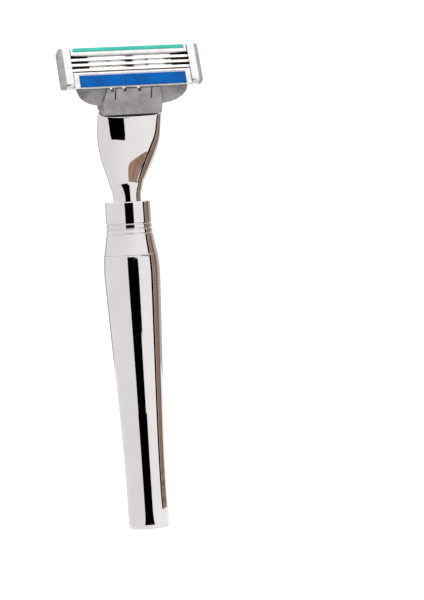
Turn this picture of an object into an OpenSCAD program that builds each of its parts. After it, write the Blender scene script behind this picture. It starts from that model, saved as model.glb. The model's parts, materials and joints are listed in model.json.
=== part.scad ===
// Cartridge razor with a turned, chromed handle and a pivoting head.
// Millimetres, +Z up along the handle's axis, origin at the centre of its foot.
// The blades face -Y and the head's length lies along X.

/* [Barrel] */
// Height of the seam between barrel and collar
barrel_len = 76.5; // [60:0.5:95]
// Diameter just above the foot
foot_d = 11.5; // [10.5:0.1:13]
// Largest diameter, below the shoulder
barrel_max_d = 15.6; // [14.8:0.1:19]
// Diameter at the seam
barrel_mouth_d = 15; // [14:0.1:16]
// Height of the rounded shoulder under the seam
shoulder_h = 5.5; // [3:0.5:8]
// Radius of the foot's edge
foot_edge_r = 1.2; // [0.6:0.1:2]
// Bore of the hollow barrel
barrel_bore_d = 8.6; // [6:0.1:9]
// Thickness of the closed foot
barrel_floor = 3; // [2:0.5:6]

/* [Bush and stud] */
// Outside diameter of the bush in the barrel's mouth
bush_d = 11.2; // [10:0.1:12]
// Length of the bush
bush_len = 10; // [6:0.5:14]
// Diameter of the tie stud
stud_d = 4; // [3:0.5:5]
// Depth of the stud in the neck
stud_grip = 7; // [5:0.5:8]

/* [Collar] */
// Length of the collar above the seam
collar_len = 14.7; // [13:0.1:18]
// Diameter of the collar's plain part
collar_d = 12.56; // [11.5:0.02:13.5]
// Diameter of the collar at the seam
collar_flare_d = 14.9; // [14:0.1:15.5]
// Length of the plain part
collar_plain = 5.9; // [4:0.1:7]
// Distance between the turned grooves
groove_pitch = 1.35; // [1:0.05:1.6]
// Width of a turned groove
groove_w = 0.5; // [0.3:0.05:0.6]
// Depth of a turned groove
groove_deep = 0.28; // [0.15:0.01:0.4]
// Number of turned grooves
groove_count = 3; // [1:1:4]
// Length of the spigot that centres the collar in the barrel
spigot_len = 2.5; // [1.5:0.1:4]
// Depth of the seat that takes the neck's foot
stem_seat = 2; // [1:0.1:3]

/* [Neck] */
// Diameter of the round stem
stem_d = 7.7; // [7:0.1:9]
// Plain height of the stem above the collar
stem_h = 3.8; // [3:0.1:6]
// Forward tilt of the neck's upper part
neck_tilt = 25; // [20:1:30]
// Bend radius of the neck's middle line
neck_bend_r = 8; // [6:0.5:12]
// Length of the straight upper part
neck_straight = 19; // [18.5:0.1:24]
// Metal on each side of the mechanism housing at the neck's top
neck_side = 3.3; // [3.2:0.1:5]
// Depth of the neck's top
neck_top_d = 6.6; // [6.4:0.1:8]
// Height above the collar at which the neck is full width
neck_full_h = 21.5; // [19:0.5:26]
// How far the neck's front stands out below its top face
neck_belly = 1.3; // [0.6:0.1:1.8]
// Length of the flatter face at the neck's top
neck_face_h = 6; // [4:0.5:8]

/* [Dock] */
// Width of the mechanism housing
housing_w = 11; // [10.6:0.1:12]
// Depth of the mechanism housing
housing_d = 4.6; // [4.4:0.1:4.8]
// Length of the housing inside the neck
housing_in = 13; // [12.6:0.1:14]
// Length of the nose that stands out of the neck
nose_len = 4.3; // [4:0.1:5]
// Diameter of the plunger
plunger_d = 1.6; // [1.4:0.05:1.8]
// Distance of the plunger behind the dock's middle
plunger_back = 1.2; // [1:0.05:1.3]
// Travel of the release slider
release_travel = 3; // [2:0.1:3.2]
// Width of the thumb pad
pad_w = 5; // [4:0.1:6]
// Length of the thumb pad
pad_len = 6.6; // [5.5:0.1:7]

/* [Yoke] */
// Gap between the neck and the yoke
dock_gap = 0.65; // [0.4:0.05:1]
// Step from the neck's side in to the yoke's base
yoke_step = 0.3; // [0.2:0.05:0.8]
// Depth of the yoke's base
yoke_base_d = 6.2; // [6:0.1:6.6]
// Width over the yoke's wings
yoke_w = 30.8; // [30.4:0.1:31.2]
// Thickness of a wing
wing_t = 1.4; // [1.2:0.1:1.6]
// Diameter of the yoke's trunnions
trunnion_d = 1.2; // [1:0.05:1.3]
// Width of the two slots in the yoke's apron
apron_slot_w = 0.4; // [0.3:0.05:0.6]

/* [Head] */
// Length of the cartridge
head_w = 39.4; // [39:0.1:42]
// Height of the cartridge's face below the middle blade line
face_down = 6.2; // [6.1:0.1:6.4]
// Height of the cartridge's face above the middle blade line
face_up = 5.4; // [5.2:0.1:6]
// Backward tilt of the face from the handle's axis
face_tilt = 20.5; // [15:0.5:25]
// Distance of the face's middle along the dock's axis
head_rise = 13.4; // [13:0.05:14.4]
// Distance of the face's middle behind the dock's axis
head_back = 0.9; // [0.6:0.05:1]
// Turn of the head on its trunnions
head_turn = 40; // [20:1:40]
// Depth of the cartridge's end blocks
end_depth = 4; // [3.8:0.1:4.2]
// Width of a metal clip
clip_w = 2; // [1.6:0.1:2.2]
// Thickness of a metal clip
clip_t = 0.25; // [0.2:0.01:0.3]
// Width of the rounded end outside the clip
end_w = 1.3; // [1.2:0.05:1.5]

/* [Blades] */
// Distance between the cutting edges
blade_pitch = 1.5; // [1.4:0.05:1.6]
// Width of a blade strip
blade_w = 1.38; // [1.2:0.02:1.45]
// Thickness of a blade strip
blade_t = 0.1; // [0.08:0.01:0.12]
// Tilt of the blades to the face
blade_tilt = 21.5; // [18:0.5:25]
// Thickness of a blade support
support_t = 0.2; // [0.15:0.01:0.25]
// Inward float of a blade
blade_float = 0.25; // [0.1:0.05:0.3]

/* [Strips] */
// Length of the lubricating strip
lube_w = 31; // [28:0.1:32]
// Height of the lubricating strip's face
lube_h = 1.25; // [0.9:0.05:1.4]
// Length of the rubber guard strip
guard_w = 29.6; // [26:0.1:29.8]
// Height of the rubber guard strip
guard_h = 3.35; // [3:0.05:3.4]

/* [Hidden] */
$fn = 72;
eps = 0.01;

fit = 0.05;
run_fit = 0.06;
slide_fit = 0.1;
body_gap = 0.3;
thin_gap = 0.15;

chrome = [0.82, 0.82, 0.83];
brass = [0.78, 0.64, 0.33];
steel = [0.62, 0.63, 0.65];
black_plastic = [0.08, 0.08, 0.09];
grey_plastic = [0.55, 0.54, 0.55];
aqua = [0.25, 0.75, 0.65];
blue = [0.0, 0.33, 0.65];

// Heights along the handle
collar_top = barrel_len + collar_len;
stem_foot = collar_top - stem_seat;
bend_z = collar_top + stem_h;
arc_len = neck_bend_r * neck_tilt * PI / 180;
neck_len = stem_seat + stem_h + arc_len + neck_straight;
stem_len = stem_seat + stem_h;
stud_r = stud_d / 2;
bush_top = barrel_len - spigot_len - fit;
bush_foot = bush_top - bush_len;
neck_top_w = housing_w + 2 * neck_side;
yoke_base_w = neck_top_w - 2 * yoke_step;
turn_at_rest = face_tilt + neck_tilt;

// The dock's origin is the middle of the neck's top
dock_y = -neck_bend_r * (1 - cos(neck_tilt)) - neck_straight * sin(neck_tilt);
dock_z = bend_z + neck_bend_r * sin(neck_tilt) + neck_straight * cos(neck_tilt);

module at_dock() {
    translate([0, dock_y, dock_z]) rotate([neck_tilt, 0, 0]) children();
}

module at_head() {
    at_dock() translate([0, head_back, head_rise])
        rotate([-turn_at_rest, 0, 0]) children();
}

module both_sides() {
    children();
    mirror([1, 0, 0]) children();
}

// A block given by its low and high corners
module block(low, high) {
    translate(low) cube(high - low);
}

// A flat outline in Y and Z, extruded along X from x0 to x1
module along_x(x0, x1) {
    translate([x0, 0, 0]) rotate([90, 0, 90]) linear_extrude(x1 - x0) children();
}

// A flat outline in X and Z, extruded along Y from y0 to y1
module along_y(y0, y1) {
    translate([0, y1, 0]) rotate([90, 0, 0]) linear_extrude(y1 - y0) children();
}

module round_rect(low, high, r) {
    size = high - low;
    translate(low) {
        translate([r, 0]) square([size[0] - 2 * r, size[1]]);
        translate([0, r]) square([size[0], size[1] - 2 * r]);
        for (x = [r, size[0] - r], y = [r, size[1] - r]) translate([x, y]) circle(r);
    }
}

function smooth(t) = t * t * (3 - 2 * t);
function clamp01(t) = min(1, max(0, t));

// ---- Barrel ----

// Share of the swell at a share of the barrel's height
function swell(t) = 3 * t * (1 - t) * (1 - t) * swell_low + 3 * t * t * (1 - t) * swell_high
    + t * t * t;
swell_low = -0.1;
swell_high = 0.63;
max_z = barrel_len - shoulder_h;
foot_r = foot_d / 2;
max_r = barrel_max_d / 2;
mouth_r = barrel_mouth_d / 2;
seam_bevel = 0.15;
profile_steps = 28;
shoulder_steps = 8;
edge_steps = 6;

barrel_outline = concat(
    [[0, 0]],
    [for (i = [0 : edge_steps])
        let (a = 90 * i / edge_steps)
        [foot_r - foot_edge_r * (1 - sin(a)), foot_edge_r * (1 - cos(a))]],
    [for (i = [1 : profile_steps])
        let (t = i / profile_steps)
        [foot_r + (max_r - foot_r) * swell(t), foot_edge_r + (max_z - foot_edge_r) * t]],
    [for (i = [1 : shoulder_steps])
        let (t = i / shoulder_steps)
        [mouth_r + (max_r - mouth_r) * cos(90 * t), max_z + (shoulder_h - seam_bevel) * t]],
    [[mouth_r - seam_bevel, barrel_len], [0, barrel_len]]
);

module barrel() {
    color(chrome) difference() {
        rotate_extrude() polygon(barrel_outline);
        translate([0, 0, barrel_floor]) cylinder(d = barrel_bore_d, h = barrel_len);
        translate([0, 0, bush_foot]) cylinder(d = bush_d + 2 * fit, h = barrel_len);
    }
}

module barrel_bush() {
    color(brass) difference() {
        translate([0, 0, bush_foot]) cylinder(d = bush_d, h = bush_len);
        translate([0, 0, bush_foot - eps]) cylinder(r = stud_r + fit, h = bush_len + 2 * eps);
    }
}

module tie_stud() {
    color(steel) translate([0, 0, bush_foot])
        cylinder(r = stud_r, h = stem_foot + stud_grip - bush_foot);
}

// ---- Collar ----

collar_r = collar_d / 2;
collar_bevel = 0.25;
flare_h = collar_len - collar_plain;
flare_power = 1.6;
flare_steps = 12;

function flare_r(t) = collar_r + (collar_flare_d / 2 - collar_r) * pow(t, flare_power);

module collar() {
    color(chrome) difference() {
        rotate_extrude() polygon(concat(
            [[0, collar_top], [collar_r - collar_bevel, collar_top],
             [collar_r, collar_top - collar_bevel]],
            [for (i = [0 : flare_steps])
                let (t = i / flare_steps)
                [flare_r(t), collar_top - collar_plain - (flare_h - seam_bevel) * t]],
            [[collar_flare_d / 2 - seam_bevel, barrel_len], [0, barrel_len]]
        ));
        for (i = [0 : groove_count - 1])
            translate([0, 0, collar_top - collar_plain - i * groove_pitch - groove_w])
                rotate_extrude()
                    translate([flare_r((i + 0.5) * groove_pitch / flare_h) - groove_deep, 0])
                        square([mouth_r, groove_w]);
        translate([0, 0, collar_top - stem_seat])
            cylinder(d = stem_d + 2 * fit, h = stem_seat + eps);
        translate([0, 0, barrel_len - eps]) cylinder(r = stud_r + fit, h = collar_len);
    }
    color(chrome) difference() {
        translate([0, 0, barrel_len - spigot_len]) cylinder(d = bush_d, h = spigot_len + eps);
        translate([0, 0, barrel_len - spigot_len - eps])
            cylinder(r = stud_r + fit, h = spigot_len + 3 * eps);
    }
}

// ---- Neck ----

ring_points = 40;
ring_steps = 26;
top_bevel = 0.25;
stem_round = 2;
top_square = 2.5;
crease_h = 1.6;
blend_power = 0.75;
round_foot = stem_seat + 1.5;

// Middle line of the neck at a path length: y, z and tilt
function neck_mid(s) =
    s <= stem_len ? [0, stem_foot + s, 0]
    : s <= stem_len + arc_len
        ? let (a = (s - stem_len) / arc_len * neck_tilt)
          [-neck_bend_r * (1 - cos(a)), bend_z + neck_bend_r * sin(a), a]
        : let (d = s - stem_len - arc_len)
          [-neck_bend_r * (1 - cos(neck_tilt)) - d * sin(neck_tilt),
           bend_z + neck_bend_r * sin(neck_tilt) + d * cos(neck_tilt), neck_tilt];

// Share of the way from round stem to flat top
function neck_blend(s) =
    smooth(pow(clamp01((s - round_foot) / (neck_full_h - round_foot + stem_seat)), blend_power));

// How far the front stands out at a distance d below the top: the face runs
// straight down to a rounded crease and the belly then fades into the stem
function belly(d) = neck_belly * (
    d < neck_face_h - crease_h ? d / neck_face_h
    : d < neck_face_h + crease_h
        ? let (u = (d - neck_face_h + crease_h) / (2 * crease_h))
          1 - crease_h / neck_face_h * (1 - u) * (1 - u)
        : 1 - smooth(clamp01((d - neck_face_h - crease_h) / (neck_straight - neck_face_h))));

function bent_power(v, p) = sign(v) * pow(abs(v), p);

function neck_ring(s, inset) =
    let (m = neck_mid(s), g = neck_blend(s),
         half_w = stem_d / 2 + (neck_top_w / 2 - stem_d / 2) * g - inset,
         half_d = stem_d / 2 + (neck_top_d / 2 - stem_d / 2) * g - inset,
         p = 2 / (stem_round + (top_square - stem_round) * g))
    [for (j = [0 : ring_points - 1])
        let (a = 360 * j / ring_points,
             x = half_w * bent_power(cos(a), p),
             y = (sin(a) < 0 ? half_d + belly(neck_len - s) : half_d) * bent_power(sin(a), p))
        [x, m[0] + y * cos(m[2]), m[1] + y * sin(m[2])]];

neck_stations = concat(
    [[0, 0], [round_foot, 0]],
    [for (i = [1 : ring_steps])
        [round_foot + (neck_len - top_bevel - round_foot) * i / ring_steps, 0]],
    [[neck_len, top_bevel]]
);

module neck_body() {
    n = ring_points;
    rings = len(neck_stations);
    points = [for (st = neck_stations) each neck_ring(st[0], st[1])];
    polyhedron(points = points, faces = concat(
        [[for (j = [0 : n - 1]) j]],
        [[for (j = [n - 1 : -1 : 0]) (rings - 1) * n + j]],
        [for (i = [0 : rings - 2], j = [0 : n - 1])
            [i * n + j, (i + 1) * n + j, (i + 1) * n + (j + 1) % n]],
        [for (i = [0 : rings - 2], j = [0 : n - 1])
            [i * n + j, (i + 1) * n + (j + 1) % n, i * n + (j + 1) % n]]
    ));
}

// Places in the dock's frame
half_hw = housing_w / 2;
half_hd = housing_d / 2;
back_wall = 0.9;
back_flat = half_hd + back_wall;
stem_x = 1.2;
fork_foot = -11;
fork_cross = 1.8;
fork_t = 0.6;
fork_back = half_hd - slide_fit;
fork_top = fork_foot + fork_cross + release_travel + slide_fit;
pad_t = 1;
pad_round = 0.45;
pad_foot = fork_foot + fork_cross / 2 - pad_len / 2;

module neck() {
    color(chrome) difference() {
        neck_body();
        translate([0, 0, stem_foot - eps]) cylinder(r = stud_r + fit, h = stud_grip + fit);
        at_dock() {
            block([-half_hw - fit, -half_hd - fit, -housing_in - fit],
                  [half_hw + fit, half_hd + fit, nose_len]);
            block([-stem_x - slide_fit, 0, fork_foot - slide_fit],
                  [stem_x + slide_fit, neck_top_d, fork_top]);
            block([-pad_w / 2 - slide_fit, back_flat, pad_foot - slide_fit],
                  [pad_w / 2 + slide_fit, neck_top_d, pad_foot + pad_len + release_travel + slide_fit]);
        }
    }
}

// ---- Mechanism housing, with the nose that the cartridge docks on ----

trunnion_y = 2.3;
trunnion_z = -4.2;
pad_y = 2.8;
pivot_y = head_back + trunnion_y * cos(turn_at_rest) + trunnion_z * sin(turn_at_rest);
pivot_z = head_rise - trunnion_y * sin(turn_at_rest) + trunnion_z * cos(turn_at_rest);
plunger_r = plunger_d / 2;
tip_gap = 0.04;
lip_t = 1;
flange_top = nose_len - lip_t - fit;
flange_t = 0.8;

// Height at which the round tip just meets the cartridge's pad at a turn
function tip_at(turn) = pivot_z
    + ((plunger_back - pivot_y) * cos(turn) - (pad_y - trunnion_y) - plunger_r - tip_gap) / sin(turn);
tip_z = tip_at(turn_at_rest);
tip_spare = 0.11;
plunger_travel = tip_z - tip_at(turn_at_rest + head_turn) + tip_spare;

pressed_spring = 6.95;
chamber_foot = flange_top - flange_t - plunger_travel - pressed_spring;
chamber_r = plunger_r + 0.22;
guide_r = plunger_r + run_fit;
nose_bevel = 0.4;
spring_y = -1.1;
spring_bore_r = 0.9;
spring_top = -1;
latch_slot = 0.9;
latch_half_w = 1.05;
latch_foot = -housing_in + 0.6;
latch_t = 0.3;
latch_bump = 0.5;
latch_bump_z = nose_len / 2 + 0.4;
bump_h = 0.8;
prong_in = 2.4;
prong_out = 4;
prong_top = -1;
tab_x = 0.8;
tab_front = -half_hd + 0.5;

module mechanism_housing() {
    color(black_plastic) at_dock() difference() {
        union() {
            block([-half_hw, -half_hd, -housing_in], [half_hw, half_hd, nose_len - nose_bevel]);
            along_y(-half_hd, half_hd) polygon([
                [-half_hw, 0], [half_hw, 0], [half_hw, nose_len - nose_bevel],
                [half_hw - nose_bevel, nose_len], [-half_hw + nose_bevel, nose_len],
                [-half_hw, nose_len - nose_bevel]]);
        }
        // plunger's chamber and guide
        translate([0, plunger_back, chamber_foot])
            cylinder(r = chamber_r, h = nose_len - lip_t - chamber_foot);
        translate([0, plunger_back, chamber_foot]) cylinder(r = guide_r, h = nose_len);
        translate([0, plunger_back, 0]) cylinder(r = guide_r, h = nose_len + eps);
        // release spring's bore
        translate([0, spring_y, fork_foot])
            cylinder(r = spring_bore_r, h = spring_top - fork_foot);
        // room for the fork's foot, cross-piece and prongs
        block([-tab_x - slide_fit, tab_front - 2 * slide_fit, fork_foot - slide_fit],
              [tab_x + slide_fit, half_hd + eps, fork_top]);
        block([-prong_out - slide_fit, fork_back - fork_t - slide_fit, fork_foot - slide_fit],
              [prong_out + slide_fit, half_hd + eps, fork_top]);
        both_sides()
            block([prong_in - slide_fit, fork_back - fork_t - slide_fit, fork_foot],
                  [prong_out + slide_fit, half_hd + eps, prong_top + release_travel + slide_fit]);
        // channels for the latch clip's arms and base
        both_sides()
            block([half_hw - latch_slot, -latch_half_w, latch_foot - slide_fit],
                  [half_hw + eps, latch_half_w, latch_bump_z + bump_h + 2 * slide_fit]);
        block([-half_hw - eps, -latch_half_w, latch_foot - slide_fit],
              [half_hw + eps, latch_half_w, latch_foot + latch_t + 2 * slide_fit]);
    }
}

// U-shaped leaf spring, its two bumps stand in notches in the yoke
module latch_clip() {
    x0 = half_hw - latch_slot + 0.25;
    half_w = latch_half_w - slide_fit;
    nub = bump_h / 8;
    color(steel) at_dock() {
        both_sides() along_y(-half_w, half_w) {
            translate([x0, latch_foot]) square([latch_t, latch_bump_z + bump_h - latch_foot]);
            polygon([[x0 + eps, latch_bump_z - bump_h], [half_hw + latch_bump, latch_bump_z - nub],
                     [half_hw + latch_bump, latch_bump_z + nub], [x0 + eps, latch_bump_z + bump_h]]);
        }
        block([-x0 - eps, -half_w, latch_foot], [x0 + eps, half_w, latch_foot + latch_t]);
    }
}

// ---- Plunger ----

module plunger() {
    color(grey_plastic) at_dock() translate([0, plunger_back, 0]) {
        translate([0, 0, tip_z]) sphere(r = plunger_r);
        translate([0, 0, flange_top - flange_t]) cylinder(r = plunger_r, h = tip_z - flange_top + flange_t);
        translate([0, 0, flange_top - flange_t]) cylinder(r = chamber_r - run_fit, h = flange_t);
    }
}

// A coil of square wire: rings joined by short posts at alternate sides
module coil(r, wire, low, high, turns) {
    step = (high - low - wire) / turns;
    for (i = [0 : turns]) translate([0, 0, low + i * step]) difference() {
        cylinder(r = r, h = wire);
        translate([0, 0, -eps]) cylinder(r = r - wire, h = wire + 2 * eps);
    }
    for (i = [0 : turns - 1])
        translate([i % 2 == 0 ? r - wire : -r, -wire / 2, low + i * step]) cube([wire, wire, step + wire]);
}

coil_wire = 0.2;
plunger_turns = 10;
release_turns = 9;

module plunger_spring() {
    color(steel) at_dock() translate([0, plunger_back, 0])
        coil(chamber_r - 2 * run_fit, coil_wire,
             chamber_foot + fit, flange_top - flange_t - fit, plunger_turns);
}

// ---- Release ----

pad_grooves = 5;
pad_groove_pitch = 1;
pad_groove_w = 0.3;
pad_groove_deep = 0.2;

// Thumb pad behind the neck, with its stem through the neck's back
module release_slider() {
    pad_y0 = back_flat + thin_gap;
    pad_y1 = pad_y0 + pad_t;
    groove_foot = pad_foot + pad_len / 2 - pad_groove_pitch * (pad_grooves - 1) / 2 - pad_groove_w / 2;
    color(black_plastic) at_dock() {
        difference() {
            along_x(-pad_w / 2, pad_w / 2)
                round_rect([pad_y0, pad_foot], [pad_y1, pad_foot + pad_len], pad_round);
            for (i = [0 : pad_grooves - 1])
                block([-pad_w / 2 - eps, pad_y1 - pad_groove_deep, groove_foot + i * pad_groove_pitch],
                      [pad_w / 2 + eps, pad_y1 + eps, groove_foot + i * pad_groove_pitch + pad_groove_w]);
        }
        block([-stem_x, fork_back, fork_foot + slide_fit],
              [stem_x, pad_y0 + slide_fit, fork_foot + fork_cross - slide_fit]);
    }
}

module release_fork() {
    color(steel) at_dock() {
        block([-prong_out, fork_back - fork_t, fork_foot], [prong_out, fork_back, fork_foot + fork_cross]);
        both_sides() block([prong_in, fork_back - fork_t, fork_foot], [prong_out, fork_back, prong_top]);
        block([-tab_x, tab_front, fork_foot], [tab_x, fork_back, fork_foot + fork_cross]);
    }
}

module release_spring() {
    color(steel) at_dock() translate([0, spring_y, 0])
        coil(spring_bore_r - slide_fit, coil_wire,
             fork_foot + fork_cross + fit, spring_top - fit, release_turns);
}

// ---- Yoke ----

socket_roof = nose_len + slide_fit;
roof_t = 0.6;
base_top = socket_roof + roof_t;
base_round = 0.8;
half_bw = yoke_base_w / 2;
half_bd = yoke_base_d / 2;
half_yw = yoke_w / 2;
apron_t = 0.9;
apron_top_w = 14.6;
apron_foot_in = 0.3;
apron_side_in = 0.4;
ear_t = 1.45;
ear_out = half_yw - 0.1;
ear_in = ear_out - ear_t;
ear_r = trunnion_d / 2 + 0.45;
frame_in = half_yw + thin_gap;
trunnion_reach = frame_in + 1.3;
wing_foot = 3.1;
wing_in = 0.6;
wing_drop = 0.25;
wing_front = -half_bd + apron_t;
wing_steps = 16;
plunger_window = plunger_r + 0.8;
notch_x = [-5.9, -2.4, 1.7];
notch_w = 0.95;
notch_h = 0.85;
slot_x = 5;
slot_h = 3.1;

// Lowest point of the guard bar in the dock's frame limits the apron
bar_t = 1;
bar_foot = -face_down + 0.1;
bar_corner = [bar_t - trunnion_y, bar_foot - trunnion_z];
bar_corner_z = pivot_z - bar_corner[0] * sin(turn_at_rest) + bar_corner[1] * cos(turn_at_rest);
apron_top = bar_corner_z - body_gap;
wing_top = apron_top - wing_drop;

module yoke_wing() {
    along_y(wing_front, wing_front + wing_t) polygon(concat(
        [[0, wing_foot - 1]],
        [for (i = [0 : wing_steps])
            let (a = 90 * i / wing_steps)
            [half_bw - wing_in + (half_yw - half_bw + wing_in) * sin(a),
             wing_top - (wing_top - wing_foot) * cos(a)]],
        [[0, wing_top]]
    ));
}

module yoke() {
    color(grey_plastic) at_dock() difference() {
        union() {
            translate([0, 0, dock_gap]) linear_extrude(base_top - dock_gap)
                round_rect([-half_bw, -half_bd], [half_bw, half_bd], base_round);
            both_sides() yoke_wing();
            along_y(-half_bd, -half_bd + apron_t) polygon([
                [-half_bw + apron_foot_in, dock_gap], [half_bw - apron_foot_in, dock_gap],
                [half_bw - apron_side_in, base_top], [apron_top_w / 2, apron_top],
                [-apron_top_w / 2, apron_top], [-half_bw + apron_side_in, base_top]]);
            both_sides() {
                block([ear_in, pivot_y - ear_r, base_top - fit], [ear_out, pivot_y + ear_r, pivot_z]);
                translate([ear_in, pivot_y, pivot_z]) rotate([0, 90, 0])
                    cylinder(r = ear_r, h = ear_out - ear_in);
                translate([ear_out - fit, pivot_y, pivot_z]) rotate([0, 90, 0])
                    cylinder(d = trunnion_d, h = trunnion_reach - ear_out + fit);
            }
        }
        // socket for the nose
        block([-half_hw - slide_fit, -half_hd - slide_fit, 0],
              [half_hw + slide_fit, half_hd + slide_fit, socket_roof]);
        // room above the nose for the plunger
        block([-plunger_window, plunger_back - plunger_r - 2 * body_gap, 0],
              [plunger_window, half_hd + slide_fit, base_top + eps]);
        // notches for the latch clip
        both_sides() block([0, -latch_half_w, latch_bump_z - bump_h - slide_fit],
                           [half_hw + latch_bump + thin_gap, latch_half_w, latch_bump_z + bump_h]);
        // slots that free the apron's middle
        both_sides() block([slot_x - apron_slot_w / 2, -half_bd - eps, apron_top - slot_h],
                           [slot_x + apron_slot_w / 2, wing_front, apron_top + eps]);
        for (x = notch_x)
            block([x - notch_w / 2, -half_bd - eps, apron_top - notch_h],
                  [x + notch_w / 2, wing_front + wing_t, apron_top + eps]);
    }
}

// ---- Cartridge ----

half_head = head_w / 2;
face_y = -0.3;
back_y = face_y + end_depth;
limb_deep = 2.4;
rib_front = limb_deep + blade_float + thin_gap;
rib_t = 0.6;
rail_back = rib_front + rib_t;
rail_front = -0.15;
lip_front = -0.12;
bar_front = 0.1;
clip_out = half_head - end_w;
clip_in = clip_out - clip_w;
blade_room = 0.3;
bay_low = edge_z(3) - blade_room;
bay_high = edge_z(1) + blade_w + blade_room;
bay_end = clip_out - 0.25;
lip_h = 0.8;
lip_low = bay_low - lip_h;
edge_r = 1.1;
low_edge_r = 2.4;
end_foot = -face_down + 0.35;
end_top = face_up + 0.3;
end_corner_r = 1.2;
lube_low = bay_high + 0.9;
lube_back = 1.3;
guard_top = lip_low - slide_fit;
guard_foot = guard_top - guard_h;
guard_y = -0.35;
guard_t = 0.9;
bearing_spare = 0.15;

// Height of a blade's cutting edge on the face
function edge_z(i) = (2 - i) * blade_pitch + 0.1;

// Side outline of the cartridge's ends, inset by d
module end_outline(d) {
    difference() {
        round_rect([face_y + d, end_foot + d], [back_y - d, end_top - d], edge_r - d);
        translate([back_y - low_edge_r - eps, end_foot - eps]) difference() {
            square([2 * low_edge_r, low_edge_r]);
            translate([0, low_edge_r]) circle(low_edge_r - d);
        }
    }
}

module end_block() {
    difference() {
        intersection() {
            union() {
                along_x(frame_in, clip_out + fit) end_outline(clip_t + fit / 2);
                along_x(clip_out, half_head) end_outline(0);
            }
            linear_extrude(4 * head_w, center = true)
                round_rect([0, face_y - end_depth], [half_head, back_y], end_corner_r);
            linear_extrude(4 * head_w, center = true)
                round_rect([0, face_y], [half_head, back_y + end_depth], edge_r);
            along_y(face_y - 1, back_y + 1)
                round_rect([0, end_foot], [half_head, end_top], end_corner_r);
        }
        // bay for the blades' ends
        block([0, face_y - 1, bay_low], [bay_end, rib_front, bay_high]);
        // trunnion's bearing
        translate([0, trunnion_y, trunnion_z]) rotate([0, 90, 0])
            cylinder(r = trunnion_d / 2 + run_fit, h = trunnion_reach + bearing_spare);
    }
}

overlap = 0.3;
// Ribs from x to x: middle, side and the wall behind the blades' ends
rib_spans = [[-eps, 1.6], [5.1, 5.9], [10.8, bay_end + overlap]];
rail_end = frame_in + 0.6;
bearer_w = 3;
bearer_t = 0.9;
tip_pocket_w = plunger_d + 0.8;

module cartridge_frame() {
    color(grey_plastic) at_head() difference() {
        union() {
            both_sides() end_block();
            // cap rail
            along_x(-rail_end, rail_end)
                round_rect([rail_front, bay_high], [rail_back, face_up + rail_front], 0.35);
            // front lip, lower wall of the blade bay and bar behind the rubber guard
            along_x(-rail_end, rail_end)
                round_rect([lip_front, lip_low], [rail_back, bay_low], 0.3);
            block([-rail_end, bar_front, bar_foot], [rail_end, bar_t, bay_low - overlap]);
            both_sides() block([guard_w / 2, -bar_front, bar_foot],
                               [rail_end, bar_front + overlap, bay_low - overlap]);
            // ribs across the back of the bay
            for (span = rib_spans) both_sides()
                block([span[0], rib_front, bay_low - overlap],
                      [span[1], rail_back, bay_high + overlap]);
            // bearer for the plunger's tip
            block([-bearer_w / 2, pad_y - bearer_t, trunnion_z + overlap],
                  [bearer_w / 2, pad_y, bay_low - overlap]);
        }
        block([-tip_pocket_w / 2, pad_y, trunnion_z], [tip_pocket_w / 2, back_y, bay_low + 0.35]);
        // seats of the lubricating strip and the rubber guard
        block([-lube_w / 2, face_y - 1, lube_low], [lube_w / 2, lube_back, face_up + 1]);
        block([-guard_w / 2, guard_y - 1, guard_foot - 2], [guard_w / 2, guard_y + guard_t, guard_top]);
    }
}

module lube_strip() {
    color(aqua) at_head() along_x(-lube_w / 2 + fit, lube_w / 2 - fit)
        round_rect([face_y, lube_low + fit], [lube_back - fit, lube_low + lube_h], 0.4);
}

module guard_strip() {
    color(blue) at_head() along_x(-guard_w / 2 + fit, guard_w / 2 - fit)
        round_rect([guard_y, guard_foot], [guard_y + guard_t - fit, guard_top - fit], 0.25);
}

clip_open = 7.4;

// Band round the cartridge's end, open at the back
module clip() {
    at_head() along_x(clip_in, clip_out) difference() {
        end_outline(0);
        end_outline(clip_t);
        translate([back_y - edge_r, -face_down / 2]) square([end_depth, clip_open]);
    }
}

module clip_left() {
    color(steel) mirror([1, 0, 0]) clip();
}

module clip_right() {
    color(steel) clip();
}

// ---- Blades ----

blade_len = 2 * bay_end - 0.3;
window_end = 11.5;
window_mid = 1.15;
window_h = 0.42;
weld_foot = 0.3;

module blade_plate(i) {
    at_head() translate([0, 0, edge_z(i)]) rotate([-blade_tilt, 0, 0]) difference() {
        translate([-blade_len / 2, 0, 0]) cube([blade_len, blade_t, blade_w]);
        both_sides() translate([window_end, -1, blade_w - window_h]) cube([blade_len, 2, 1]);
        translate([-window_mid, -1, blade_w - window_h]) cube([2 * window_mid, 2, 1]);
    }
}

// A point of the support's sloping plate, at a depth behind the blade's front and a height up it
function on_slope(depth, up) = [
    depth * cos(blade_tilt) + up * sin(blade_tilt),
    up * cos(blade_tilt) - depth * sin(blade_tilt)];

// Bent strip: its sloping plate carries the blade and its limb runs back into the bay
module blade_support(i) {
    plate_top = blade_w - window_h - fit;
    at_head() translate([0, 0, edge_z(i)]) along_x(-blade_len / 2, blade_len / 2) polygon([
        on_slope(blade_t, weld_foot), on_slope(blade_t + support_t, weld_foot),
        [limb_deep, on_slope(blade_t + support_t, weld_foot)[1]],
        [limb_deep, on_slope(blade_t + support_t, weld_foot)[1] + support_t],
        on_slope(blade_t + support_t, weld_foot + 1.5 * support_t),
        on_slope(blade_t + support_t, plate_top), on_slope(blade_t, plate_top)]);
}

module blade_1() { color(chrome) blade_plate(1); }
module blade_2() { color(chrome) blade_plate(2); }
module blade_3() { color(chrome) blade_plate(3); }
module blade_support_1() { color(steel) blade_support(1); }
module blade_support_2() { color(steel) blade_support(2); }
module blade_support_3() { color(steel) blade_support(3); }

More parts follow.
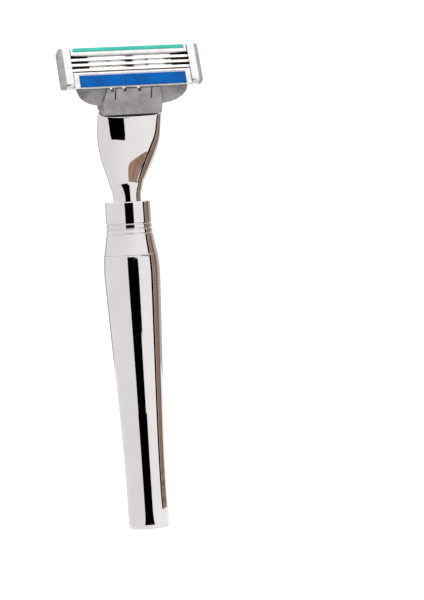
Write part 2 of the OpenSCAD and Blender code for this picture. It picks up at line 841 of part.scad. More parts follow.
barrel();
barrel_bush();
tie_stud();
collar();
neck();
mechanism_housing();
latch_clip();
plunger();
plunger_spring();
release_slider();
release_fork();
release_spring();
yoke();
cartridge_frame();
lube_strip();
guard_strip();
clip_left();
clip_right();
blade_1();
blade_2();
blade_3();
blade_support_1();
blade_support_2();
blade_support_3();
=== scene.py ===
"""Cartridge razor: the looks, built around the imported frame.

Everything is in metres in the frame's own axes: +Z up the handle, the blades face -Y and the
head's length lies along X. Sizes in this file are written in millimetres and scaled by MM.
"""

import json
import math

import bmesh
import bpy
from mathutils import Matrix, Vector


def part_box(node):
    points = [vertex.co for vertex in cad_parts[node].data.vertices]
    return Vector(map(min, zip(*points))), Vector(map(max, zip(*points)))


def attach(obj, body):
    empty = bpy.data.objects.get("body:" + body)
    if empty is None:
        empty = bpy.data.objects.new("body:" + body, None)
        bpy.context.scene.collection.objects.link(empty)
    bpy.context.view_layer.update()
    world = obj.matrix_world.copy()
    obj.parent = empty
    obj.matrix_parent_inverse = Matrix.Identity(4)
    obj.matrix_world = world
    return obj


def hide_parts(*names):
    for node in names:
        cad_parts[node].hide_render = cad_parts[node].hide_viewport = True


MM = 0.001
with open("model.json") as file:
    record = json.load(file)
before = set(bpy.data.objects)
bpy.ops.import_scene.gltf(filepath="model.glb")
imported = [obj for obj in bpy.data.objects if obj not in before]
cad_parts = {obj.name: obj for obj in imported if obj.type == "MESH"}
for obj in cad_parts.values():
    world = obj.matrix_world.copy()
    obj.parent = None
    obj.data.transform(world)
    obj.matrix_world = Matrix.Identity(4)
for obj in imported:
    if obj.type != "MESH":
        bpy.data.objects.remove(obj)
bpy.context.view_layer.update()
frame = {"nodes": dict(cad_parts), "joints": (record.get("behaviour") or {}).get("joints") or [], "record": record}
scene = bpy.context.scene


# ---------------------------------------------------------------- places from the frame

def joint(name):
    """The record's row for a joint."""
    return next(row for row in frame["joints"] if row["name"] == name)


def mount(name):
    """The record's row for a mount."""
    return next(row for row in frame["record"]["mounts"] if row["name"] == name)


NOSE_LEN = 4.3
TRUNNION_DEEP = 2.3
TRUNNION_DOWN = 4.2

dock_axis = Vector(joint("cartridge_dock")["axis"])
neck_tilt = math.atan2(-dock_axis.y, dock_axis.z)
nose_end = Vector(mount("cartridge_nose")["pos_m"])
dock_origin = nose_end - dock_axis * NOSE_LEN * MM
DOCK = Matrix.Translation(dock_origin) @ Matrix.Rotation(neck_tilt, 4, "X")

float_axis = Vector(joint("blade_2_float")["axis"])
face_tilt = math.atan2(-float_axis.z, float_axis.y)
pivot = Vector(joint("blade_unit_pivot")["pos_m"])
HEAD = (
    Matrix.Translation(pivot)
    @ Matrix.Rotation(-face_tilt, 4, "X")
    @ Matrix.Translation((0, -TRUNNION_DEEP * MM, TRUNNION_DOWN * MM))
)

barrel_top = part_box("barrel")[1].z / MM
collar_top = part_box("collar")[1].z / MM
collar_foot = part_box("collar")[0].z / MM


# ---------------------------------------------------------------- shader helpers

class Finish:
    """A material under construction: a Principled shader with small helpers for its nodes."""

    def __init__(self, name, **sockets):
        self.material = bpy.data.materials.new(name)
        self.material.use_nodes = True
        self.tree = self.material.node_tree
        self.shader = self.tree.nodes["Principled BSDF"]
        self.coords = self.node("ShaderNodeTexCoord").outputs["Object"]
        for socket, value in sockets.items():
            self.set(socket.replace("_", " "), value)

    def set(self, socket, value):
        self.shader.inputs[socket].default_value = value

    def node(self, kind, **values):
        made = self.tree.nodes.new(kind)
        for name, value in values.items():
            setattr(made, name, value)
        return made

    def link(self, source, target):
        self.tree.links.new(source, target)

    def stretched(self, scale, turn=0.0):
        """Object coordinates turned about X and scaled, for grain that runs one way."""
        mapping = self.node("ShaderNodeMapping")
        mapping.vector_type = "TEXTURE"
        mapping.inputs["Rotation"].default_value = (turn, 0, 0)
        mapping.inputs["Scale"].default_value = tuple(1 / s for s in scale)
        self.link(self.coords, mapping.inputs["Vector"])
        return mapping.outputs["Vector"]

    def noise(self, scale, detail=3.0, roughness=0.5, vector=None):
        """Fractal noise; scale is the number of features in a metre."""
        made = self.node("ShaderNodeTexNoise")
        made.inputs["Scale"].default_value = scale
        made.inputs["Detail"].default_value = detail
        made.inputs["Roughness"].default_value = roughness
        self.link(vector if vector is not None else self.coords, made.inputs["Vector"])
        return made.outputs["Fac"]

    def spread(self, value, low, high, from_low=0.3, from_high=0.7):
        """A value spread over a new range."""
        made = self.node("ShaderNodeMapRange")
        made.inputs["From Min"].default_value = from_low
        made.inputs["From Max"].default_value = from_high
        made.inputs["To Min"].default_value = low
        made.inputs["To Max"].default_value = high
        self.link(value, made.inputs["Value"])
        return made.outputs["Result"]

    def tint(self, value, dark, light, from_low=0.3, from_high=0.7):
        """Two colours mixed by a value."""
        made = self.node("ShaderNodeMix", data_type="RGBA")
        made.inputs["A"].default_value = (*dark, 1)
        made.inputs["B"].default_value = (*light, 1)
        self.link(self.spread(value, 0, 1, from_low, from_high), made.inputs["Factor"])
        return made.outputs["Result"]

    def product(self, a, b):
        made = self.node("ShaderNodeMath", operation="MULTIPLY")
        self.link(a, made.inputs[0])
        self.link(b, made.inputs[1])
        return made.outputs["Value"]

    def sum(self, a, b):
        made = self.node("ShaderNodeMath", operation="ADD")
        self.link(a, made.inputs[0])
        self.link(b, made.inputs[1])
        return made.outputs["Value"]

    def bump(self, height, strength, distance):
        made = self.node("ShaderNodeBump")
        made.inputs["Strength"].default_value = strength
        made.inputs["Distance"].default_value = distance
        self.link(height, made.inputs["Height"])
        self.link(made.outputs["Normal"], self.shader.inputs["Normal"])

    def feed(self, socket, source):
        self.link(source, self.shader.inputs[socket])


# ---------------------------------------------------------------- finishes

def polished_chrome():
    """Mirror chrome plate with faint handling marks and a trace of the polishing wheel."""
    f = Finish("polished_chrome", Metallic=1.0)
    smudge = f.noise(110, 4, 0.6)
    wheel = f.noise(1, 2, 0.5, f.stretched((900, 900, 5200)))
    f.feed("Base Color", f.tint(smudge, (0.665, 0.642, 0.645), (0.715, 0.692, 0.695)))
    f.feed("Roughness", f.sum(f.spread(smudge, 0.012, 0.05), f.spread(wheel, 0.0, 0.02)))
    f.bump(wheel, 0.035, 0.01 * MM)
    return f.material


def turned_brass():
    """Turned brass with tool marks round its axis."""
    f = Finish("turned_brass", Metallic=1.0)
    marks = f.noise(1, 3, 0.6, f.stretched((200, 200, 9000)))
    patina = f.noise(300, 4)
    f.feed("Base Color", f.tint(patina, (0.55, 0.4, 0.17), (0.78, 0.62, 0.31)))
    f.feed("Roughness", f.spread(marks, 0.2, 0.42))
    f.bump(marks, 0.25, 0.02 * MM)
    return f.material


def drawn_steel(name, light, rough):
    """Stamped or drawn steel with a fine grain."""
    f = Finish(name, Metallic=1.0)
    grain = f.noise(1, 3, 0.6, f.stretched((6000, 900, 900)))
    cloud = f.noise(900, 3)
    f.feed("Base Color", f.tint(cloud, tuple(0.8 * c for c in light), light))
    f.feed("Roughness", f.spread(grain, rough, rough + 0.18))
    f.bump(grain, 0.2, 0.01 * MM)
    return f.material


def ground_blade_steel():
    """Bright ground steel: streaks run across the strip, with a few darker stains."""
    f = Finish("ground_blade_steel", Metallic=0.55)
    streaks = f.noise(1, 3, 0.55, f.stretched((7000, 700, 700)))
    stain = f.noise(420, 3)
    f.feed("Base Color", f.tint(stain, (0.9, 0.9, 0.9), (0.98, 0.98, 0.98)))
    f.feed("Roughness", f.spread(streaks, 0.32, 0.5))
    f.bump(streaks, 0.12, 0.01 * MM)
    return f.material


def honed_edge_painted_reflection():
    """Painted brown reflection on the honed edge: a thin brownish line along each strip."""
    f = Finish("honed_edge_painted_reflection", Metallic=0.6)
    streaks = f.noise(1, 3, 0.6, f.stretched((5000, 900, 900)))
    f.feed("Base Color", f.tint(streaks, (0.2, 0.13, 0.09), (0.46, 0.36, 0.29)))
    f.feed("Roughness", f.spread(streaks, 0.3, 0.5))
    return f.material


def rolled_aluminium():
    """Bright rolled strip with a soft brushed grain along the band."""
    f = Finish("rolled_aluminium", Metallic=1.0)
    grain = f.noise(1, 4, 0.6, f.stretched((9000, 500, 500)))
    scuffs = f.noise(700, 4, 0.7)
    f.feed("Base Color", f.tint(scuffs, (0.62, 0.62, 0.625), (0.78, 0.78, 0.785)))
    f.feed("Roughness", f.sum(f.spread(grain, 0.2, 0.32), f.spread(scuffs, 0.0, 0.1)))
    f.bump(grain, 0.12, 0.01 * MM)
    return f.material


def moulded_plastic(name, dark, light):
    """Filled plastic: a fine spark-eroded texture with a slight fleck."""
    f = Finish(name, Specular_IOR_Level=0.45)
    fleck = f.noise(9000, 2, 0.6)
    cloud = f.noise(500, 4, 0.55)
    colour = f.tint(f.product(fleck, cloud), dark, light, 0.12, 0.42)
    f.feed("Base Color", colour)
    f.feed("Roughness", f.spread(cloud, 0.36, 0.55))
    f.bump(fleck, 0.35, 0.03 * MM)
    return f.material


def grained_yoke_plastic():
    """Grey plastic with the fine upright grain of its mould."""
    f = Finish("grained_yoke_plastic", Specular_IOR_Level=0.45)
    grain = f.noise(1, 4, 0.65, f.stretched((9000, 9000, 700), neck_tilt))
    cloud = f.noise(330, 4, 0.55)
    colour = f.tint(f.sum(grain, cloud), (0.15, 0.142, 0.142), (0.27, 0.258, 0.258), 0.75, 1.25)
    f.feed("Base Color", colour)
    f.feed("Roughness", f.spread(grain, 0.38, 0.58))
    f.bump(grain, 0.3, 0.03 * MM)
    return f.material


def black_moulding():
    """Black engineering plastic with a satin skin."""
    f = Finish("black_moulding", Specular_IOR_Level=0.5)
    skin = f.noise(5200, 3, 0.6)
    cloud = f.noise(260, 3)
    f.feed("Base Color", f.tint(cloud, (0.012, 0.012, 0.014), (0.03, 0.03, 0.033)))
    f.feed("Roughness", f.spread(skin, 0.28, 0.45))
    f.bump(skin, 0.25, 0.02 * MM)
    return f.material


def lubricating_polymer():
    """Aqua strip of water-soluble polymer, drawn lengthwise and slightly waxy."""
    f = Finish("lubricating_polymer", Subsurface_Weight=0.12, Specular_IOR_Level=0.4)
    f.set("Subsurface Radius", (0.3 * MM, 0.6 * MM, 0.5 * MM))
    f.set("Subsurface Scale", 1.0)
    drawn = f.noise(1, 4, 0.6, f.stretched((260, 3500, 3500)))
    cloud = f.noise(300, 3)
    colour = f.tint(f.sum(drawn, cloud), (0.015, 0.29, 0.225), (0.035, 0.39, 0.3), 0.75, 1.25)
    f.feed("Base Color", colour)
    f.feed("Roughness", f.spread(drawn, 0.3, 0.5))
    f.bump(drawn, 0.2, 0.03 * MM)
    return f.material


def finned_rubber():
    """Deep blue elastomer with a dusty bloom in its skin."""
    f = Finish("finned_rubber", Specular_IOR_Level=0.08)
    bloom = f.noise(1500, 5, 0.65)
    cloud = f.noise(260, 3)
    colour = f.tint(f.sum(bloom, cloud), (0.0, 0.05, 0.21), (0.0, 0.088, 0.32), 0.75, 1.25)
    f.feed("Base Color", colour)
    f.feed("Roughness", f.spread(bloom, 0.42, 0.65))
    f.bump(bloom, 0.25, 0.03 * MM)
    return f.material


CHROME = polished_chrome()
BRASS = turned_brass()
STEEL = drawn_steel("drawn_steel", (0.75, 0.755, 0.765), 0.25)
SPRING = drawn_steel("spring_steel", (0.5, 0.51, 0.53), 0.16)
BLADE = ground_blade_steel()
EDGE_REFLECTION = honed_edge_painted_reflection()
CLIP = rolled_aluminium()
GREY = moulded_plastic("moulded_grey", (0.17, 0.162, 0.162), (0.3, 0.288, 0.288))
# The next two are lighter and darker copies of the grey plastic: painted light for the cartridge frame's front and
# painted shade inside the blades' bay.
PAINTED_LIGHT_GREY = moulded_plastic("front_painted_light", (0.46, 0.455, 0.455), (0.68, 0.67, 0.67))
SHADE = moulded_plastic("painted_bay_shade", (0.012, 0.01, 0.01), (0.03, 0.026, 0.026))
YOKE = grained_yoke_plastic()
BLACK = black_moulding()
AQUA = lubricating_polymer()
BLUE = finned_rubber()


# ---------------------------------------------------------------- mesh helpers

SHARP = math.radians(32)


def finish_mesh(mesh, material, sharp=SHARP):
    """Smooth shading with sharp edges kept, one material."""
    mesh.materials.clear()
    mesh.materials.append(material)
    mesh.shade_smooth()
    mesh.set_sharp_from_angle(angle=sharp)


def add_piece(name, mesh, body, slot, *replaced):
    """Puts a finished mesh in the scene, riding on a body and standing for CAD nodes."""
    piece = bpy.data.objects.new(name, mesh)
    scene.collection.objects.link(piece)
    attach(piece, body)
    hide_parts(*replaced)
    return piece


def mesh_from(bm, name):
    """A mesh from a bmesh, with its faces turned outwards."""
    bmesh.ops.recalc_face_normals(bm, faces=bm.faces)
    mesh = bpy.data.meshes.new(name)
    bm.to_mesh(mesh)
    bm.free()
    return mesh


SUPPORT = 0.04


def supported(outline):
    """The outline with a point close to both ends of each long segment, which keeps shading flat."""
    points = [outline[0]]
    for start, end in zip(outline, outline[1:]):
        length = math.dist(start, end)
        if length > 12 * SUPPORT and min(start[0], end[0]) > 0:
            for share in (SUPPORT / length, 1 - SUPPORT / length):
                points.append(tuple(a + (b - a) * share for a, b in zip(start, end)))
        points.append(end)
    return points


def lathe(name, outline, segments=200):
    """Turns an outline of (radius, height) in millimetres about Z. An outline whose ends are on
    the axis closes in poles there; any other outline closes on itself."""
    outline = supported(outline)
    bm = bmesh.new()
    closed = outline[0][0] > 0
    rings = []
    for radius, height in outline:
        if radius == 0:
            rings.append([bm.verts.new((0, 0, height * MM))])
            continue
        rings.append([
            bm.verts.new((
                radius * MM * math.cos(math.tau * i / segments),
                radius * MM * math.sin(math.tau * i / segments),
                height * MM,
            ))
            for i in range(segments)
        ])
    pairs = list(zip(rings, rings[1:]))
    if closed:
        pairs.append((rings[-1], rings[0]))
    for low, high in pairs:
        for i in range(segments):
            j = (i + 1) % segments
            corners = [low[i % len(low)], low[j % len(low)], high[j % len(high)], high[i % len(high)]]
            bm.faces.new(list(dict.fromkeys(corners)))
    return mesh_from(bm, name)


def arc(centre, radius, start, end, steps):
    """Points of an arc in a (radius, height) outline; angles in degrees from the outward axis."""
    return [
        (
            centre[0] + radius * math.cos(math.radians(start + (end - start) * i / steps)),
            centre[1] + radius * math.sin(math.radians(start + (end - start) * i / steps)),
        )
        for i in range(steps + 1)
    ]


def loft(name, rings):
    """Skins a list of rings of points, in metres, and closes both ends."""
    bm = bmesh.new()
    made = [[bm.verts.new(point) for point in ring] for ring in rings]
    count = len(made[0])
    for low, high in zip(made, made[1:]):
        for i in range(count):
            j = (i + 1) % count
            bm.faces.new((low[i], low[j], high[j], high[i]))
    bm.faces.new(made[0])
    bm.faces.new(made[-1])
    return mesh_from(bm, name)


MERGE_DIST = 0.0005
THIN_DIST = 0.002


def softened(node, bevel, material, segments=2, flat=0.6, shape=None):
    """A copy of a CAD node's mesh, merged, reshaped, its flat faces joined and its sharp edges
    rounded by up to the bevel. The rounding stops where the shortest edge leaves no more room: on
    the yoke it comes to nothing, on the cartridge's frame, the clips and the housing to a few
    thousandths of a millimetre."""
    bm = bmesh.new()
    bm.from_mesh(frame["nodes"][node].data)
    bmesh.ops.remove_doubles(bm, verts=bm.verts, dist=MERGE_DIST * MM)
    if shape:
        shape(bm)
    bmesh.ops.dissolve_degenerate(bm, dist=THIN_DIST * MM, edges=bm.edges)
    bmesh.ops.dissolve_limit(
        bm, angle_limit=math.radians(flat), use_dissolve_boundaries=False,
        verts=bm.verts, edges=bm.edges,
    )
    edges = [
        edge for edge in bm.edges
        if len(edge.link_faces) == 2 and edge.calc_face_angle(0) > SHARP
    ]
    if bevel and edges:
        bmesh.ops.bevel(
            bm, geom=edges, offset=bevel * MM, offset_type="OFFSET", segments=segments,
            profile=0.5, affect="EDGES", clamp_overlap=True, harden_normals=False,
        )
    bmesh.ops.triangulate(bm, faces=[f for f in bm.faces if len(f.verts) > 4])
    mesh = mesh_from(bm, node + "_soft")
    finish_mesh(mesh, material)
    return mesh


# ---------------------------------------------------------------- geometry node helpers

class Recipe:
    """A geometry node tree with named inputs, run once to give a plain mesh."""

    def __init__(self, name, **inputs):
        self.tree = bpy.data.node_groups.new(name, "GeometryNodeTree")
        self.values = inputs
        self.sockets = {}
        for label, value in inputs.items():
            kind = "NodeSocketFloat"
            if isinstance(value, int):
                kind = "NodeSocketInt"
            elif isinstance(value, tuple):
                kind = "NodeSocketVector"
            self.sockets[label] = self.tree.interface.new_socket(
                label.replace("_", " "), in_out="INPUT", socket_type=kind
            )
        self.tree.interface.new_socket("Geometry", in_out="OUTPUT", socket_type="NodeSocketGeometry")
        self.entry = self.tree.nodes.new("NodeGroupInput")
        self.exit = self.tree.nodes.new("NodeGroupOutput")

    def node(self, kind, **values):
        made = self.tree.nodes.new(kind)
        for name, value in values.items():
            setattr(made, name, value)
        return made

    def link(self, source, target):
        self.tree.links.new(source, target)

    def given(self, label):
        """The group's own input socket of that name."""
        return self.entry.outputs[label.replace("_", " ")]

    def build(self, name, result, material):
        """Ends the tree in Realize Instances and Set Material, and returns the mesh it makes."""
        real = self.node("GeometryNodeRealizeInstances")
        paint = self.node("GeometryNodeSetMaterial")
        paint.inputs["Material"].default_value = material
        self.link(result, real.inputs["Geometry"])
        self.link(real.outputs["Geometry"], paint.inputs["Geometry"])
        self.link(paint.outputs["Geometry"], self.exit.inputs["Geometry"])
        holder = bpy.data.objects.new(name, bpy.data.meshes.new(name))
        scene.collection.objects.link(holder)
        modifier = holder.modifiers.new(name, "NODES")
        modifier.node_group = self.tree
        for label, socket in self.sockets.items():
            modifier[socket.identifier] = self.values[label]
        ready = holder.evaluated_get(bpy.context.evaluated_depsgraph_get())
        mesh = bpy.data.meshes.new_from_object(ready)
        holder.modifiers.clear()
        bpy.data.objects.remove(holder)
        mesh.name = name
        return mesh


def rib_row(name, material, length, count, pitch, width, height):
    """Round-backed ribs along X, side by side up Z, centred on the origin; sizes in metres."""
    r = Recipe(name, Rib_length=length, Rib_count=count, Rib_pitch=(0.0, 0.0, pitch),
               Rib_section=(width / 2, height / 2, 1.0))
    line = r.node("GeometryNodeCurvePrimitiveLine")
    reach = r.node("ShaderNodeCombineXYZ")
    r.link(r.given("Rib_length"), reach.inputs["X"])
    r.link(reach.outputs["Vector"], line.inputs["End"])
    ring = r.node("GeometryNodeCurvePrimitiveCircle")
    ring.inputs["Resolution"].default_value = 12
    ring.inputs["Radius"].default_value = 1.0
    shaped = r.node("GeometryNodeTransform")
    r.link(ring.outputs["Curve"], shaped.inputs["Geometry"])
    r.link(r.given("Rib_section"), shaped.inputs["Scale"])
    swept = r.node("GeometryNodeCurveToMesh")
    swept.inputs["Fill Caps"].default_value = True
    r.link(line.outputs["Curve"], swept.inputs["Curve"])
    r.link(shaped.outputs["Geometry"], swept.inputs["Profile Curve"])
    places = r.node("GeometryNodeMeshLine")
    r.link(r.given("Rib_count"), places.inputs["Count"])
    r.link(r.given("Rib_pitch"), places.inputs["Offset"])
    copies = r.node("GeometryNodeInstanceOnPoints")
    r.link(places.outputs["Mesh"], copies.inputs["Points"])
    r.link(swept.outputs["Mesh"], copies.inputs["Instance"])
    mesh = r.build(name, copies.outputs["Instances"], material)
    mesh.transform(Matrix.Translation((-length / 2, 0, -pitch * (count - 1) / 2)))
    return mesh


def dot_row(name, material, count, pitch, radius, proud):
    """Low round dots along X, centred on the origin, standing out along -Y; sizes in metres."""
    r = Recipe(name, Dot_count=count, Dot_pitch=(pitch, 0.0, 0.0), Dot_size=(radius, proud, radius))
    ball = r.node("GeometryNodeMeshUVSphere")
    ball.inputs["Segments"].default_value = 12
    ball.inputs["Rings"].default_value = 6
    ball.inputs["Radius"].default_value = 1.0
    places = r.node("GeometryNodeMeshLine")
    r.link(r.given("Dot_count"), places.inputs["Count"])
    r.link(r.given("Dot_pitch"), places.inputs["Offset"])
    copies = r.node("GeometryNodeInstanceOnPoints")
    r.link(places.outputs["Mesh"], copies.inputs["Points"])
    r.link(ball.outputs["Mesh"], copies.inputs["Instance"])
    r.link(r.given("Dot_size"), copies.inputs["Scale"])
    mesh = r.build(name, copies.outputs["Instances"], material)
    mesh.transform(Matrix.Translation((-pitch * (count - 1) / 2, 0, 0)))
    return mesh


def wound_spring(name, material, radius, wire, length, turns):
    """A helical spring along Z from the origin, with closed ground ends; sizes in metres."""
    r = Recipe(name, Coil_radius=radius, Coil_turns=float(turns), Coil_length=length, Wire=wire / 2)
    coil = r.node("GeometryNodeCurveSpiral")
    coil.inputs["Resolution"].default_value = 24
    r.link(r.given("Coil_turns"), coil.inputs["Rotations"])
    r.link(r.given("Coil_radius"), coil.inputs["Start Radius"])
    r.link(r.given("Coil_radius"), coil.inputs["End Radius"])
    r.link(r.given("Coil_length"), coil.inputs["Height"])
    ring = r.node("GeometryNodeCurvePrimitiveCircle")
    ring.inputs["Resolution"].default_value = 10
    r.link(r.given("Wire"), ring.inputs["Radius"])
    swept = r.node("GeometryNodeCurveToMesh")
    swept.inputs["Fill Caps"].default_value = True
    r.link(coil.outputs["Curve"], swept.inputs["Curve"])
    r.link(ring.outputs["Curve"], swept.inputs["Profile Curve"])
    return r.build(name, swept.outputs["Mesh"], material)


def joined(name, meshes, sharp=SHARP):
    """One mesh from several, with each one's materials kept."""
    bm = bmesh.new()
    materials = []
    for mesh in meshes:
        first = len(bm.faces)
        bm.from_mesh(mesh)
        bm.faces.ensure_lookup_table()
        shift = {}
        for index, material in enumerate(mesh.materials):
            if material not in materials:
                materials.append(material)
            shift[index] = materials.index(material)
        for face in bm.faces[first:]:
            face.material_index = shift.get(face.material_index, 0)
    whole = bpy.data.meshes.new(name)
    bm.to_mesh(whole)
    bm.free()
    for material in materials:
        whole.materials.append(material)
    whole.shade_smooth()
    whole.set_sharp_from_angle(angle=sharp)
    return whole


def cut_away(name, mesh, cutters):
    """A mesh with closed cutter meshes taken out of it."""
    body = bpy.data.objects.new(name, mesh)
    scene.collection.objects.link(body)
    tools = []
    for cutter in cutters:
        tool = bpy.data.objects.new(cutter.name, cutter)
        scene.collection.objects.link(tool)
        tools.append(tool)
        cut = body.modifiers.new(cutter.name, "BOOLEAN")
        cut.operation = "DIFFERENCE"
        cut.solver = "EXACT"
        cut.object = tool
    ready = body.evaluated_get(bpy.context.evaluated_depsgraph_get())
    result = bpy.data.meshes.new_from_object(ready)
    result.name = name
    for thing in (body, *tools):
        bpy.data.objects.remove(thing)
    return result


def bar(name, low, high, radius=0.0, segments=3):
    """A bar between two corners in millimetres with all its edges rounded."""
    bm = bmesh.new()
    bmesh.ops.create_cube(bm, size=1.0)
    low, high = Vector(low) * MM, Vector(high) * MM
    size = high - low
    for vert in bm.verts:
        vert.co = Vector((vert.co.x * size.x, vert.co.y * size.y, vert.co.z * size.z)) + (low + high) / 2
    if radius:
        bmesh.ops.bevel(bm, geom=bm.edges[:], offset=radius * MM, segments=segments, profile=0.5,
                        affect="EDGES", clamp_overlap=True)
    return mesh_from(bm, name)


# ---------------------------------------------------------------- handle

FOOT_R = 5.75
FOOT_EDGE = 1.2
DISH_DEEP = 0.12
DISH_SLOPE = 0.3
DISH_RIM = 0.5
WIDEST_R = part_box("barrel")[1].y / MM
MOUTH_R = 7.5
SHOULDER = 5.5
SWELL_LOW = -0.1
SWELL_HIGH = 0.63
SEAM_BEVEL = 0.15
BORE_R = 4.3
FLOOR_T = 3.0
BUSH_R = 5.6
BUSH_LEN = 10.0
BUSH_ROOM = 0.05
SPIGOT = 2.5
STUD_R = 2.05
BODY_STEPS = 72
SHOULDER_STEPS = 16


def swell(t):
    """Share of the barrel's swell at a share of its height."""
    return 3 * t * (1 - t) ** 2 * SWELL_LOW + 3 * t * t * (1 - t) * SWELL_HIGH + t ** 3


def barrel():
    """Turned barrel: rounded foot, long swell, rounded shoulder, open mouth and inner bore."""
    widest = barrel_top - SHOULDER
    dish_r = FOOT_R - FOOT_EDGE - DISH_RIM
    outline = [(0, DISH_DEEP), (dish_r, DISH_DEEP), (dish_r + DISH_SLOPE, 0)]
    outline += arc((FOOT_R - FOOT_EDGE, FOOT_EDGE), FOOT_EDGE, -90, 0, 10)
    for i in range(1, BODY_STEPS + 1):
        t = i / BODY_STEPS
        outline.append((FOOT_R + (WIDEST_R - FOOT_R) * swell(t), FOOT_EDGE + (widest - FOOT_EDGE) * t))
    for i in range(1, SHOULDER_STEPS + 1):
        t = i / SHOULDER_STEPS
        radius = MOUTH_R + (WIDEST_R - MOUTH_R) * math.cos(math.pi / 2 * t)
        outline.append((radius, widest + (SHOULDER - SEAM_BEVEL) * t))
    bush_foot = barrel_top - SPIGOT - BUSH_LEN
    outline += arc((MOUTH_R - SEAM_BEVEL, barrel_top - SEAM_BEVEL), SEAM_BEVEL, 25, 90, 3)
    outline += [
        (BUSH_R + BUSH_ROOM, barrel_top), (BUSH_R + BUSH_ROOM, bush_foot),
        (BORE_R, bush_foot), (BORE_R, FLOOR_T), (0, FLOOR_T),
    ]
    mesh = lathe("barrel_turned", outline)
    finish_mesh(mesh, CHROME)
    add_piece("barrel_turned", mesh, "handle", "chrome", "barrel")


COLLAR_R = 6.28
FLARE_R = 7.45
FLARE_H = 8.8
FLARE_POWER = 1.6
COLLAR_EDGE = 0.25
GROOVES = 3
GROOVE_PITCH = 1.35
GROOVE_HALF = 0.25
GROOVE_DEEP = 0.24
PLAIN_RISE = 1.0
SKIN_LAP = 0.1
SKIN_STEPS = 150
SEAT_R = 3.9
SEAT_DEEP = 2.0


def flare(t):
    """The collar's radius at a share of the flare's height, from the top down."""
    return COLLAR_R + (FLARE_R - COLLAR_R) * t ** FLARE_POWER


def collar_skin():
    """The collar's side from its top edge down, with turned round-bottomed grooves."""
    flare_top = barrel_top + FLARE_H
    side = arc((COLLAR_R - COLLAR_EDGE, collar_top - COLLAR_EDGE), COLLAR_EDGE, 90, 0, 5)
    side.append((COLLAR_R, flare_top + PLAIN_RISE))
    reach = FLARE_H - SEAM_BEVEL
    centres = [flare_top - GROOVE_HALF - i * GROOVE_PITCH for i in range(GROOVES)]
    for i in range(SKIN_STEPS + 1):
        z = flare_top + SKIN_LAP - (reach + SKIN_LAP) * i / SKIN_STEPS
        radius = flare(max(0.0, (flare_top - z) / FLARE_H))
        for centre in centres:
            off = abs(z - centre) / GROOVE_HALF
            if off < 1:
                radius -= GROOVE_DEEP * math.sqrt(1 - off * off)
        side.append((radius, z))
    side += arc((FLARE_R - SEAM_BEVEL, barrel_top + SEAM_BEVEL), SEAM_BEVEL, -20, -90, 3)
    return side


def collar():
    """Collar with its flare and grooves, the seat for the neck and the spigot into the barrel."""
    outline = [(STUD_R, collar_foot), (BUSH_R, collar_foot), (BUSH_R, barrel_top)]
    outline += reversed(collar_skin())
    outline += [(SEAT_R, collar_top), (SEAT_R, collar_top - SEAT_DEEP), (STUD_R, collar_top - SEAT_DEEP)]
    mesh = lathe("collar_turned", outline)
    finish_mesh(mesh, CHROME)
    add_piece("collar_turned", mesh, "handle", "chrome", "collar")


STEM_R = 3.85
STEM_H = 3.8
BEND_R = 8.0
STRAIGHT = 19.0
TOP_HALF_W = 8.8
TOP_HALF_D = 3.3
FULL_H = 21.5
BLEND_POWER = 0.75
BELLY = 1.3
FACE_H = 6.0
CREASE_H = 1.6
ROUND_POWER = 2.0
TOP_POWER = 2.5
TOP_EDGE = 0.25
RING_POINTS = 176
RING_STEPS = 150
EDGE_STEPS = 4
ROUND_RISE = 1.5
NECK_SHARP = math.radians(24)
stem_len = SEAT_DEEP + STEM_H
arc_len = BEND_R * neck_tilt
neck_len = stem_len + arc_len + STRAIGHT
round_foot = SEAT_DEEP + ROUND_RISE


def smooth(t):
    t = min(1.0, max(0.0, t))
    return t * t * (3 - 2 * t)


def neck_middle(s):
    """Place and tilt of the neck's middle line at a path length: y, z and the tilt in radians."""
    bend_z = collar_top + STEM_H
    if s <= stem_len:
        return 0.0, collar_top - SEAT_DEEP + s, 0.0
    angle = min(neck_tilt, (s - stem_len) / BEND_R)
    past = max(0.0, s - stem_len - arc_len)
    y = -BEND_R * (1 - math.cos(angle)) - past * math.sin(angle)
    return y, bend_z + BEND_R * math.sin(angle) + past * math.cos(angle), angle


def belly(d):
    """How far the front stands out at a distance below the top: face, crease, then a fade."""
    if d < FACE_H - CREASE_H:
        return BELLY * d / FACE_H
    if d < FACE_H + CREASE_H:
        u = (d - FACE_H + CREASE_H) / (2 * CREASE_H)
        return BELLY * (1 - CREASE_H / FACE_H * (1 - u) ** 2)
    return BELLY * (1 - smooth((d - FACE_H - CREASE_H) / (STRAIGHT - FACE_H)))


def bent_power(value, power):
    return math.copysign(abs(value) ** power, value)


def neck_ring(s, inset):
    """One ring of the neck's skin at a path length, in metres."""
    y0, z0, tilt = neck_middle(s)
    share = smooth(max(0.0, (s - round_foot) / (FULL_H - round_foot + SEAT_DEEP)) ** BLEND_POWER)
    half_w = STEM_R + (TOP_HALF_W - STEM_R) * share - inset
    half_d = STEM_R + (TOP_HALF_D - STEM_R) * share - inset
    power = 2 / (ROUND_POWER + (TOP_POWER - ROUND_POWER) * share)
    ring = []
    for i in range(RING_POINTS):
        angle = math.tau * i / RING_POINTS
        deep = half_d + belly(neck_len - s) if math.sin(angle) < 0 else half_d
        x = half_w * bent_power(math.cos(angle), power)
        y = deep * bent_power(math.sin(angle), power)
        ring.append(Vector((x, y0 + y * math.cos(tilt), z0 + y * math.sin(tilt))) * MM)
    return ring


HOUSING_HALF_W = 5.55
HOUSING_HALF_D = 2.35
BACK_FLAT = 3.2
PAD_FOOT = -13.4
PAD_TOP = -6.8
PAD_HALF_W = 2.5
TRAVEL = 3.0
PAD_ROOM = 0.1
STEM_HALF_W = 1.3
MOUTH_FOOT = -13
SLOT_FOOT = -11.1
SLOT_TOP = -6.1
PAST_TOP = 2
PAST_BACK = 6


